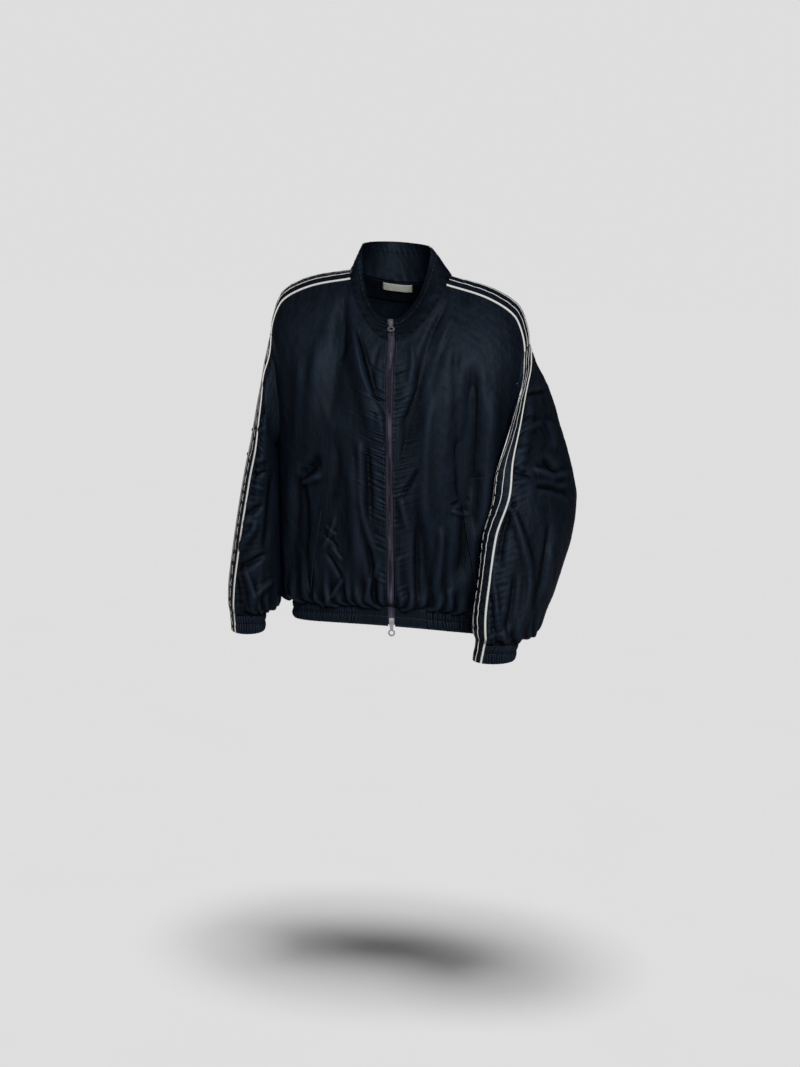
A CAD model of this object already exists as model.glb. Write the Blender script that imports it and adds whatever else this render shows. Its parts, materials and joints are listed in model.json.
"""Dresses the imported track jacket: thin cloth shells, pipings, zip, sewing, finishes, floor and light.

Sizes are in millimetres here and metres in the scene. The front faces -Y and the wearer's left side is +X.
"""

import json
import logging
import math
from collections.abc import Callable, Iterable, Sequence
from dataclasses import dataclass, field
from enum import Enum
from functools import lru_cache
from typing import Any

import bpy
import numpy as np
from mathutils import Matrix, Vector

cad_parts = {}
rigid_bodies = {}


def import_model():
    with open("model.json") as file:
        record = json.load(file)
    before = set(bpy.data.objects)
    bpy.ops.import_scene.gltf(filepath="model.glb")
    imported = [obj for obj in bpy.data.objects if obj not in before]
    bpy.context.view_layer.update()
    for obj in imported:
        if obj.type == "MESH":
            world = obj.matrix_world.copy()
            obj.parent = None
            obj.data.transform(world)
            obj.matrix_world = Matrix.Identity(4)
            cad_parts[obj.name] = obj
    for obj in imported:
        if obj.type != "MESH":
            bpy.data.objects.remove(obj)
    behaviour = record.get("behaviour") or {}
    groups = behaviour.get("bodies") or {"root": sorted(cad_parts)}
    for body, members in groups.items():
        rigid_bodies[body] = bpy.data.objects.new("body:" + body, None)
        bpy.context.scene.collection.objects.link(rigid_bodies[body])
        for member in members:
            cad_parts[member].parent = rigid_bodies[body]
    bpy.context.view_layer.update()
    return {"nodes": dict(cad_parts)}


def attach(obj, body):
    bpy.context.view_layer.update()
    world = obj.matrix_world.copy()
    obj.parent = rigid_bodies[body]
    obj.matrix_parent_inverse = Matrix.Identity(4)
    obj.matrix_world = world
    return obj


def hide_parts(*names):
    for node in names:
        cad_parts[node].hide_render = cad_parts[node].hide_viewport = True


Array = np.ndarray

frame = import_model()
LOG = logging.getLogger("jacket")
BODY = "garment"
MM = 0.001

# The cut, as in the part's source
CLOTH = 1.6
COLLAR_HEIGHT = 66.0
HEM_SEAM = 738.0
HEM_HEIGHT = 35.0
HEM_PLAIN_END = 52.0
CUFF_SEAM = 546.0
SLEEVE_END = 580.0
BAND_HALF = 23.0
BAND_AT_NECK = 11.0
BAND_AT_ARMHOLE = 16.0
ARMHOLE_TOP = 208.0
UNDERARM = 432.0
ARMHOLE_BLEND = 64.0
ZIP_OPEN_HALF = 6.3
CHAIN_SINK = -2.8
SWAY = 0.03
DROOP = 0.022
FRONT_TWIST = 0.11
SWUNG_TO = 720.0
NEAR = 2.5
SEAM = 0.3
TUCK = 1.2
FOLD_GAIN = 1.55

BODY_RINGS = """
down halfWidth front back zSide zFront zBack square drop
0 93 94 64 6 -116 -12 2.0 1.7
78 166 112 94 -10 -156 -58 2.1 1.5
146 222 122 114 -45 -202 -112 2.25 1.4
208 238 127 124 -106 -242 -172 2.35 1.5
290 236 130 130 -188 -288 -234 2.4 1.8
432 226 131 134 -330 -368 -348 2.4 2
560 221 128 132 -456 -462 -462 2.4 2
672 219 125 130 -564 -556 -570 2.4 2
716 212 120 126 -603 -591 -610 2.4 2
738 196 109 115 -616 -601 -624 2.3 2
"""
COLLAR_RINGS = """
up halfWidth front back zSide zFront zBack drop lean
0 93 94 64 6 -116 -12 1.7 0
34 79 79 68 31 -96 25 1.4 -4
66 63 59 72 55 -77 63 1.0 -9
"""
ARMHOLE = """
down front back
208 39 7
232 54 38
275 67 68
330 73 84
385 64 76
418 40 48
429 18 22
432 0 0
"""
LEFT_SLEEVE = """
down xOut zOut xIn zIn y depth turn bandAt band
0 241 -108 227 -332 6 78 0 0 23
24 248 -130 245 -332 2 84 -8 16 23
70 260 -176 251 -338 -9 93 -24 42 23
130 272 -238 249 -347 -28 94 -33 60 23
200 287 -312 240 -366 -54 95 -44 75 23
270 305 -384 230 -412 -77 93 -52 83 23
340 303 -450 214 -462 -98 91 -58 89 23
420 291 -530 203 -530 -118 81 -58 94 23
490 276 -598 190 -594 -134 73 -55 93 23
528 267 -632 185 -628 -142 62 -53 92 21
546 239 -646 187 -641 -146 42 -57 92 17
580 233 -680 183 -675 -150 41 -57 92 16
"""
RIGHT_SLEEVE = """
down xOut zOut xIn zIn y depth turn bandAt band
0 241 -108 227 -332 6 78 0 0 23
24 243 -130 226 -332 6 84 0 15 23
70 247 -176 216 -342 6 90 0 36 23
130 255 -236 208 -352 6 92 2 47 23
200 264 -306 204 -372 6 92 4 50 23
270 275 -374 203 -414 4 88 6 48 23
340 285 -444 202 -468 0 84 6 44 23
420 294 -524 200 -534 -8 80 5 39 23
490 299 -592 200 -596 -20 72 4 34 23
528 297 -626 206 -628 -28 62 4 32 21
546 294 -640 230 -640 -32 42 4 32 17
580 289 -674 230 -674 -38 40 4 32 16
"""

# Folds as seen from the front (F) or the back (B). A depth above 0 is a ridge, and bow bends the line sideways.
BODY_FOLDS = """
face x1 z1 x2 z2 width depth bow
F -100 -60 -104 -260 22 -6 0
F -80 -110 -14 -300 18 6 0
F 84 -100 20 -330 20 -6 0
F -66 -330 -44 -540 16 5 0
F -160 -380 -168 -560 20 -6 0
F 140 -160 136 -420 24 -6 0
F 182 -200 176 -470 20 5 0
F 60 -420 84 -610 18 -5 0
F -100 -36 -93 -148 14 -3.0 2
F -77 -99 -50 -180 8 3.2 0
F -54 -176 -6 -290 8 3.6 5
F -66 -106 -22 -250 8 -3.0 4
F 86 -52 44 -205 10 -3.6 -8
F 46 -198 16 -300 9 -3.4 0
F 98 -72 58 -232 10 2.8 -6
F -53 -300 -44 -402 8 3.4 0
F -46 -392 -18 -492 8 3.6 -4
F -38 -306 -26 -430 8 -3.0 0
F -32 -484 -14 -592 8 -3.6 3
F 53 -342 24 -394 6 -2.6 2
F 24 -396 40 -452 6 2.0 0
F 125 -287 141 -396 13 -4.0 0
F 141 -388 137 -545 14 -5.0 4
F 102 -450 94 -570 9 3.2 3
F 71 -217 73 -454 12 2.4 -5
F 56 -458 62 -590 8 -3.2 0
F 147 -160 152 -372 13 -4.0 3
F -169 -372 -151 -500 17 -4.6 4
F -151 -494 -137 -596 14 -3.6 0
F -164 -362 -122 -342 13 -4.2 3
F -154 -376 -126 -326 10 -2.4 0
F -168 -388 -124 -364 7 3.4 2
F -94 -439 -114 -497 5 2.6 3
F -105 -505 -75 -552 5 -3.0 0
F -75 -548 -120 -612 6 3.0 5
F -110 -455 -90 -472 4 1.8 0
F -113 -470 -86 -494 4 -2.0 2
F -98 -494 -78 -518 4 1.8 0
F -172 -158 -172 -324 13 2.4 4
F -138 -118 -146 -330 14 2.2 -4
F 110 -118 112 -352 13 -2.4 5
F 165 -342 159 -455 11 -4.0 0
F 118 -404 150 -394 5 -2.6 0
F 120 -416 150 -424 5 2.2 0
F 30 -118 34 -190 7 1.6 3
F -28 -126 -34 -200 7 -1.6 -3
F -12 -520 -34 -594 7 2.4 0
F 24 -500 34 -590 8 2.6 -3
F 118 -560 126 -600 7 2.6 0
F -92 -300 -98 -420 12 -2.0 5
B -120 -120 -110 -420 26 -6 0
B 118 -120 124 -440 26 -6 0
B -30 -280 -46 -600 24 6 0
B 60 -330 52 -610 22 -6 0
B -160 -380 -140 -600 20 5 0
B -70 -60 -96 -210 13 3.0 4
B 72 -64 92 -230 13 3.0 -5
B -8 -90 -14 -330 15 -2.6 6
B 30 -150 38 -340 12 2.4 -4
B -150 -150 -166 -330 13 3.2 4
B 158 -170 150 -360 13 -3.4 -4
B -96 -330 -84 -520 11 -3.0 4
B 90 -360 104 -560 12 3.4 -4
B 8 -430 -2 -600 10 -3.2 3
B -60 -470 -74 -604 9 3.2 0
B 140 -470 130 -604 10 -3.4 2
B -126 -500 -112 -606 9 -3.0 0
B 24 -500 34 -606 8 2.8 0
B 168 -300 176 -470 13 3.0 0
B -180 -260 -176 -420 13 -3.0 0
"""
SLEEVE_FOLDS = """
face x1 z1 x2 z2 width depth bow
F 206 -283 270 -252 6 2.4 2
F 212 -256 254 -240 5 -1.8 0
F 216 -211 276 -198 6 -2.2 3
F 248 -208 234 -336 9 3.2 5
F 278 -316 316 -360 9 -4.2 3
F 262 -332 326 -346 7 3.4 -4
F 270 -362 328 -378 8 -3.2 4
F 214 -384 264 -518 9 4.2 6
F 265 -510 254 -622 9 3.8 4
F 293 -430 277 -574 10 -4.0 6
F 186 -482 210 -606 8 3.6 5
F 231 -388 210 -503 8 -4.2 -6
F 209 -310 246 -298 6 2.6 2
F 206 -338 258 -343 6 -2.8 3
F 208 -362 252 -352 5 2.4 0
F 204 -326 238 -334 5 -1.8 0
F 238 -520 226 -620 8 -3.6 3
F 200 -556 206 -626 6 -2.8 0
F 284 -250 296 -300 9 2.6 3
F 300 -470 296 -560 9 2.8 0
B 300 -336 248 -362 10 -4.4 5
B 312 -366 252 -398 9 4.0 4
B 298 -402 238 -424 9 -4.0 -4
B 292 -440 270 -606 12 4.0 8
B 250 -244 264 -352 12 -3.4 5
B 230 -480 240 -622 9 3.4 4
B 262 -452 250 -600 9 -3.6 4
B 284 -230 262 -300 9 2.8 0
B 216 -404 222 -520 9 -3.0 3
F -232 -250 -270 -270 8 -3.4 3
F -234 -286 -268 -296 7 2.4 0
F -232 -344 -276 -338 8 3.6 3
F -228 -366 -272 -374 6 -3.0 2
F -234 -428 -280 -447 9 -4.2 4
F -244 -464 -286 -520 9 4.2 5
F -226 -520 -290 -548 9 -4.4 4
F -264 -542 -239 -626 8 4.0 4
F -222 -372 -228 -506 7 -3.4 3
F -260 -372 -267 -508 8 2.6 3
F -212 -570 -248 -606 8 3.6 0
F -280 -560 -270 -626 7 -3.2 2
F -230 -400 -262 -392 6 2.2 0
F -250 -312 -262 -420 9 -2.4 3
B -286 -368 -234 -386 9 -4.0 4
B -292 -402 -234 -404 9 4.0 3
B -280 -442 -240 -428 8 -3.4 0
B -272 -468 -284 -622 11 3.8 6
B -250 -196 -264 -332 12 -3.4 5
B -240 -498 -238 -624 9 -3.6 3
B -262 -320 -254 -380 8 2.6 0
B -256 -470 -262 -600 8 -3.0 4
"""


def smooth(share: Array | float) -> Array:
    """A soft step from 0 to 1."""
    held = np.clip(share, 0.0, 1.0)
    return held * held * (3.0 - 2.0 * held)


class Curve:
    """A smooth curve through one column of a table, with no overshoot between its rows."""

    def __init__(self, at: Sequence[float], value: Sequence[float]) -> None:
        """Works out the slope at every row.

        Args:
            at: Where the rows are.
            value: The value at each row.
        """
        self.at = np.asarray(at, float)
        self.value = np.asarray(value, float)
        span = np.diff(self.at)
        slope = np.diff(self.value) / span
        self.slope = np.zeros_like(self.value)
        self.slope[0], self.slope[-1] = slope[0], slope[-1]
        for i in range(1, len(span)):
            if slope[i - 1] * slope[i] > 0:
                early = (2 * span[i] + span[i - 1]) / slope[i - 1]
                late = (span[i] + 2 * span[i - 1]) / slope[i]
                self.slope[i] = 3 * (span[i - 1] + span[i]) / (early + late)

    def __call__(self, where: Array | float) -> Array:
        """The curve's value at one place or several."""
        i = np.clip(np.searchsorted(self.at, where, side="right") - 1, 0, len(self.at) - 2)
        span = self.at[i + 1] - self.at[i]
        u = np.clip((where - self.at[i]) / span, 0.0, 1.0)
        rise = (self.value[i + 1] - self.value[i]) * u * u * (3 - 2 * u)
        return self.value[i] + rise + span * u * (1 - u) * (self.slope[i] * (1 - u) - self.slope[i + 1] * u)


class Table:
    """A table of named columns, read as curves over its first column."""

    def __init__(self, text: str) -> None:
        """Reads the heading and the rows.

        Args:
            text: The heading on the first line, then one row on each line.
        """
        names, *rows = [line.split() for line in text.strip().splitlines()]
        values = np.array(rows, float)
        self.curves = {name: Curve(values[:, 0], values[:, k]) for k, name in enumerate(names) if k}

    def __call__(self, where: float) -> dict[str, float]:
        """Every column's value at one place."""
        return {name: float(curve(where)) for name, curve in self.curves.items()}


class Line:
    """A line of points that is walked by the length of cloth along it."""

    def __init__(self, points: Array) -> None:
        """Measures the line.

        Args:
            points: The line's points, one a row.
        """
        self.points = points
        self.reach = np.concatenate([[0.0], np.cumsum(np.linalg.norm(np.diff(points, axis=0), axis=1))])
        self.length = float(self.reach[-1])

    def __call__(self, distance: Array) -> Array:
        """The points at those lengths along the line."""
        return np.stack([np.interp(distance, self.reach, self.points[:, k]) for k in range(3)], axis=-1)


class Side(Enum):
    """The wearer's left and right sides."""

    LEFT = 1
    RIGHT = -1

    @property
    def word(self) -> str:
        """The side's name in the names of nodes."""
        return self.name.lower()


class Face(Enum):
    """The front or the back of the garment. The value is the sign of lengths measured that way."""

    FRONT = 1
    BACK = -1

    @property
    def word(self) -> str:
        """The face's name in the names of nodes."""
        return self.name.lower()


Place = Callable[[float, Array], Array]


@dataclass(frozen=True)
class Surface:
    """A form of cloth. place gives its points, and outside is the sign of its outward direction."""

    place: Place
    outside: int

    def row(self, down: float, across: Array) -> tuple[Array, Array]:
        """One row of points and their outward directions.

        Args:
            down: How far along the piece the row is.
            across: The places along the row.

        Returns:
            The points and the unit directions.
        """
        along = self.place(down + NEAR, across) - self.place(down - NEAR, across)
        beside = self.place(down, across + NEAR) - self.place(down, across - NEAR)
        out = np.cross(beside, along)
        out *= self.outside / np.maximum(np.linalg.norm(out, axis=-1, keepdims=True), 1e-9)
        return self.place(down, across), out


class BodyForm:
    """The body and collar of the garment as one form that is asked for places on it."""

    RING_STEPS = 48

    def __init__(self) -> None:
        """Reads the tables of the body, collar and armhole."""
        self.rings = Table(BODY_RINGS)
        self.collar_rings = Table(COLLAR_RINGS)
        self.armhole = Table(ARMHOLE)
        self.arc = lru_cache(maxsize=None)(self._arc)
        self.neck = {face: self.arc(face, 0.0).length for face in Face}

    def _arc(self, face: Face, down: float) -> Line:
        """Half a ring from the side line to the centre front or back. Below 0 it is the collar's."""
        ring = self.collar_rings(-down) if down < 0 else self.rings(down)
        depth = -ring["front"] if face is Face.FRONT else ring["back"]
        end = ring["zFront"] if face is Face.FRONT else ring["zBack"]
        angle = np.linspace(math.pi / 2, 0.0, self.RING_STEPS + 1)
        across, along = np.sin(angle), np.cos(angle)
        along[0] = 0.0
        power = 2.0 / ring.get("square", 2.0)
        points = [ring["halfWidth"] * across**power, depth * along**power]
        points.append(ring["zSide"] + (end - ring["zSide"]) * along ** ring["drop"])
        return Line(np.stack(points, axis=-1))

    @staticmethod
    def worn(side: Array | int, points: Array) -> Array:
        """Puts points of the even body where the worn garment has them."""
        x = side * points[:, 0]
        y, z = points[:, 1], points[:, 2]
        swing = FRONT_TWIST * np.minimum(0.0, y) * np.maximum(0.0, 1.0 + z / SWUNG_TO)
        return np.stack([x - SWAY * z + swing, y, z - DROOP * x], axis=-1)

    def place(self, side: int, down: float, along: Array) -> Array:
        """Places on the shell.

        Args:
            side: 1 on the wearer's left and -1 on the right.
            down: The length of cloth from the neck seam, below 0 on the collar.
            along: The length from the side line, above 0 to the front.

        Returns:
            The points, one a row.
        """
        along = np.asarray(along, float)
        points = np.zeros((len(along), 3))
        for face in Face:
            mask = along >= 0 if face is Face.FRONT else along < 0
            if not mask.any():
                continue
            off = np.abs(along[mask])
            if down < 0:
                up = min(COLLAR_HEIGHT, -down)
                arc = self.arc(face, -up)
                points[mask] = self.worn(side, arc(off / self.neck[face] * arc.length))
                points[mask, 0] += float(self.collar_rings.curves["lean"](up))
                continue
            body = min(down, HEM_SEAM)
            arc = self.arc(face, body)
            sides = np.full(len(off), side)
            if face is Face.BACK:
                past = off > arc.length
                sides[past] = -side
                off = np.where(past, 2 * arc.length - off, off)
            spots = arc(off)
            spots[:, 2] -= down - body
            points[mask] = self.worn(sides, spots)
        return points

    def surface(self, side: int) -> Surface:
        """The shell's surface on one side."""
        return Surface(lambda down, along: self.place(side, down, along), side)

    @staticmethod
    def band_middle(down: float) -> float:
        """How far the middle of the stripe band lies in front of the side line."""
        return BAND_AT_NECK + (BAND_AT_ARMHOLE - BAND_AT_NECK) * min(1.0, max(0.0, down / ARMHOLE_TOP))

    def edge(self, face: Face, down: float, turn: float = 0.1) -> float:
        """Where a body panel begins beside the stripe band, the armhole or the side seam."""
        down = max(0.0, down)
        if down < ARMHOLE_TOP:
            return BAND_HALF + face.value * self.band_middle(down) + SEAM / 2
        if down < UNDERARM:
            curve = self.armhole.curves[face.word]
            slope = float(curve(down + 1.0) - curve(down - 1.0)) / 2
            return float(curve(down)) + SEAM / 2 + turn * min(2.5, math.hypot(1.0, slope))
        return SEAM / 2 + turn * max(0.0, 1.0 - (down - UNDERARM) / 9.0)

    def armhole_edge(self, side: int, face: Face) -> Line:
        """The armhole edge from the middle of the stripe band to the underarm."""
        sign = face.value
        top = BAND_AT_ARMHOLE + sign * BAND_HALF * np.array([0.0, 0.25, 0.5, 0.75])
        downs = ARMHOLE_TOP + (UNDERARM - ARMHOLE_TOP) * np.sin(np.linspace(0.0, math.pi / 2, 121))
        edge = [self.place(side, d, np.array([sign * float(self.armhole.curves[face.word](d))])) for d in downs]
        return Line(np.concatenate([self.place(side, ARMHOLE_TOP, top), *edge]))


class SleeveForm:
    """One sleeve and cuff as rings that leave the armhole."""

    STEPS = 120

    def __init__(self, body: BodyForm, side: Side) -> None:
        """Reads the sleeve's table and takes the armhole's edge from the body.

        Args:
            body: The form that the sleeve is set into.
            side: The wearer's side.
        """
        self.side = side
        self.table = Table(LEFT_SLEEVE if side is Side.LEFT else RIGHT_SLEEVE)
        self.edges = {face: body.armhole_edge(side.value, face) for face in Face}
        self.whole = sum(edge.length for edge in self.edges.values())
        self.loop = lru_cache(maxsize=None)(self._loop)

    def _armhole(self, share: Array) -> Array:
        """Places on the armhole edge, by their share of the way round from the band by the front."""
        at = (share % 1.0) * self.whole
        front, back = self.edges[Face.FRONT], self.edges[Face.BACK]
        return np.where((at < front.length)[:, None], front(at), back(self.whole - at))

    def _plain(self, down: float, share: Array) -> Array:
        """Places on the plain ring there, by their share of the way round from its outer line."""
        row = self.table(down)
        middle = np.array([(row["xOut"] + row["xIn"]) / 2, row["y"], (row["zOut"] + row["zIn"]) / 2])
        outward = np.array([(row["xOut"] - row["xIn"]) / 2, 0.0, (row["zOut"] - row["zIn"]) / 2])
        forward = np.array([0.0, -row["depth"], 0.0])
        c, s = math.cos(math.radians(row["turn"])), math.sin(math.radians(row["turn"]))
        turned = np.array([[c, -s, 0.0], [s, c, 0.0], [0.0, 0.0, 1.0]])
        angle = 2 * math.pi * share[:, None]
        points = middle + np.cos(angle) * (turned @ outward) + np.sin(angle) * (turned @ forward)
        points[:, 0] *= self.side.value
        return points

    def _loop(self, down: float) -> Line:
        """The whole ring of cloth there, walked from the middle of the stripe band by the front."""
        share = float(self.table.curves["bandAt"](down)) / 360 + np.arange(self.STEPS + 1) / self.STEPS
        points = self._plain(down, share)
        joined = 1.0 - float(smooth(down / ARMHOLE_BLEND))
        if joined > 0:
            points = points + joined * (self._armhole(share) - self._plain(0.0, share))
        return Line(points)

    def place(self, down: float, across: Array) -> Array:
        """Places on the sleeve, by the length of cloth round it from the middle of the band."""
        loop = self.loop(round(min(SLEEVE_END, max(0.0, down)), 4))
        return loop(np.mod(across, loop.length))

    def surface(self) -> Surface:
        """The sleeve's surface."""
        return Surface(self.place, self.side.value)

    def band(self, down: float) -> float:
        """Half the width of the stripe band there."""
        return float(self.table.curves["band"](down))

    def reach(self, face: Face, down: float) -> float:
        """The length of cloth from the middle of the band to the underarm seam."""
        at_edge = self.edges[Face.FRONT].length / self.whole
        share = at_edge + (0.5 - at_edge) * float(smooth(down / ARMHOLE_BLEND))
        return self.loop(round(down, 4)).length * (share if face is Face.FRONT else 1.0 - share)


@dataclass(frozen=True)
class Fold:
    """One soft fold that runs from one place to another."""

    face: str
    x1: float
    z1: float
    x2: float
    z2: float
    width: float
    depth: float
    bow: float

    def lift(self, x: Array, z: Array) -> Array:
        """How far the fold lifts or sinks the cloth."""
        dx, dz = self.x2 - self.x1, self.z2 - self.z1
        length = math.hypot(dx, dz)
        share = ((x - self.x1) * dx + (z - self.z1) * dz) / length**2
        held = np.clip(share, 0.0, 1.0)
        off = ((x - self.x1) * -dz + (z - self.z1) * dx) / length - self.bow * 4 * held * (1 - held)
        wide = self.width * (0.75 + 0.45 * held)
        taper = smooth((share + 0.12) / 0.34) * smooth((1.12 - share) / 0.34)
        near = (off / wide) ** 2
        return FOLD_GAIN * self.depth * taper * (1.0 - 0.45 * near) * np.exp(-near)


class Folds:
    """A set of folds, looked up by the way the cloth faces."""

    def __init__(self, text: str) -> None:
        """Reads the table of folds.

        Args:
            text: The heading on the first line, then one fold on each line.
        """
        rows = [line.split() for line in text.strip().splitlines()[1:]]
        self.folds = [Fold(row[0], *map(float, row[1:])) for row in rows]

    def lift(self, points: Array, out: Array) -> Array:
        """The sum of the folds at those points, each on the face that it belongs to."""
        lifts = np.zeros(points.shape[:-1])
        weight = {"F": smooth((0.25 - out[..., 1]) / 0.5), "B": smooth((0.25 + out[..., 1]) / 0.5)}
        for fold in self.folds:
            lifts += weight[fold.face] * fold.lift(points[..., 0], points[..., 2])
        return lifts


def ruffle(place: Array, spacing: float, seed: int) -> Array:
    """Uneven waves along a seam, about one for every two spacings.

    Args:
        place: The lengths along the seam.
        spacing: The middle distance from a crest to the next hollow.
        seed: Picks the pattern.

    Returns:
        Heights from about -1 to 1.
    """
    rng = np.random.default_rng(seed)
    count = int((float(np.max(place)) - float(np.min(place))) / spacing * 1.6) + 8
    knots = float(np.min(place)) - spacing + np.cumsum(spacing * rng.uniform(0.55, 1.45, count))
    values = rng.uniform(0.35, 1.0, count) * np.where(np.arange(count) % 2, 1.0, -1.0)
    i = np.clip(np.searchsorted(knots, place) - 1, 0, count - 2)
    share = np.clip((place - knots[i]) / (knots[i + 1] - knots[i]), 0.0, 1.0)
    return values[i] + (values[i + 1] - values[i]) * smooth(share)


def stand(relief: Array) -> Array:
    """How far each place of a relief stands above the cloth round it.

    Args:
        relief: Heights in millimetres, rows by columns.

    Returns:
        Values from -1 in a deep hollow to 1 on a sharp ridge.
    """
    spread = np.array(relief, dtype=float)
    for _ in range(14):
        padded = np.pad(spread, 1, mode="edge")
        spread = (padded[:-2, 1:-1] + padded[2:, 1:-1] + padded[1:-1, :-2] + padded[1:-1, 2:] + spread) / 5.0
    return np.tanh((relief - spread) / 1.15)


def crumple(points: Array, size: float, seed: int, stretch: float = 1.0) -> Array:
    """Soft irregular hollows and ridges over the cloth.

    Args:
        points: Places on the cloth.
        size: The rough distance between ridges.
        seed: Picks the pattern.
        stretch: How much longer the ridges are up and down than across.

    Returns:
        Heights from about -1 to 1.
    """
    rng = np.random.default_rng(seed)
    spots = points * np.array([1.0, 1.0, 1.0 / stretch]) / size
    total = np.zeros(points.shape[:-1])
    for k in range(7):
        way = rng.normal(size=3)
        way *= rng.uniform(1.6, 3.4) / np.linalg.norm(way)
        bend = np.roll(way, 1) * 0.6
        phase = rng.uniform(0.0, 2 * math.pi, 2)
        wave = np.sin(spots @ way + phase[0] + 1.3 * np.sin(spots @ bend + phase[1]))
        total += (1.0 - 2.0 * np.abs(wave)) if k % 2 else wave
    return total / 5.0


@dataclass
class Patch:
    """A grid of places on a piece of cloth, with what its relief is worked out from."""

    points: Array
    out: Array
    down: Array
    across: Array
    start: Array
    end: Array

    @classmethod
    def over(cls, surface: Callable[[float, Array], tuple[Array, Array]], downs: Array, across: list[Array]) -> "Patch":
        """Samples a surface.

        Args:
            surface: Gives one row of points and directions.
            downs: Where the rows are.
            across: The places along each row.

        Returns:
            The patch.
        """
        rows = [surface(float(d), a) for d, a in zip(downs, across)]
        points = np.stack([row[0] for row in rows])
        out = np.stack([row[1] for row in rows])
        step = np.linalg.norm(np.diff(points, axis=1), axis=-1)
        start = np.concatenate([np.zeros((len(downs), 1)), np.cumsum(step, axis=1)], axis=1)
        down = np.broadcast_to(np.asarray(downs)[:, None], start.shape)
        return cls(points, out, down, np.stack(across), start, start[:, -1:] - start)

    def raised(self, height: Array | float) -> Array:
        """The points moved out by that height."""
        return self.points + self.out * np.asarray(height)[..., None]


class Socket:
    """A node socket that is added, taken away, multiplied and divided like a number."""

    def __init__(self, graph: "Graph", link: Any) -> None:
        """Wraps a socket.

        Args:
            graph: The material that the socket is in.
            link: The node's output socket.
        """
        self.graph = graph
        self.link = link

    def _math(self, operation: str, *values: Any, clamp: bool = False) -> "Socket":
        """One Math node."""
        settings = {"operation": operation, "use_clamp": clamp}
        return self.graph.node("ShaderNodeMath", settings, dict(enumerate(values)))

    def __add__(self, other: Any) -> "Socket":
        """self + other."""
        return self._math("ADD", self, other)

    def __radd__(self, other: Any) -> "Socket":
        """other + self."""
        return self._math("ADD", other, self)

    def __sub__(self, other: Any) -> "Socket":
        """self - other."""
        return self._math("SUBTRACT", self, other)

    def __rsub__(self, other: Any) -> "Socket":
        """other - self."""
        return self._math("SUBTRACT", other, self)

    def __mul__(self, other: Any) -> "Socket":
        """self * other."""
        return self._math("MULTIPLY", self, other)

    def __rmul__(self, other: Any) -> "Socket":
        """other * self."""
        return self._math("MULTIPLY", other, self)

    def __truediv__(self, other: Any) -> "Socket":
        """self / other."""
        return self._math("DIVIDE", self, other)

    def __rtruediv__(self, other: Any) -> "Socket":
        """other / self."""
        return self._math("DIVIDE", other, self)

    def __pow__(self, other: Any) -> "Socket":
        """self ** other."""
        return self._math("POWER", self, other)

    def __abs__(self) -> "Socket":
        """The value without its sign."""
        return self._math("ABSOLUTE", self)

    def sine(self) -> "Socket":
        """The sine of the value."""
        return self._math("SINE", self)

    def clamped(self) -> "Socket":
        """The value held between 0 and 1."""
        return self._math("ADD", self, 0.0, clamp=True)


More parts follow.
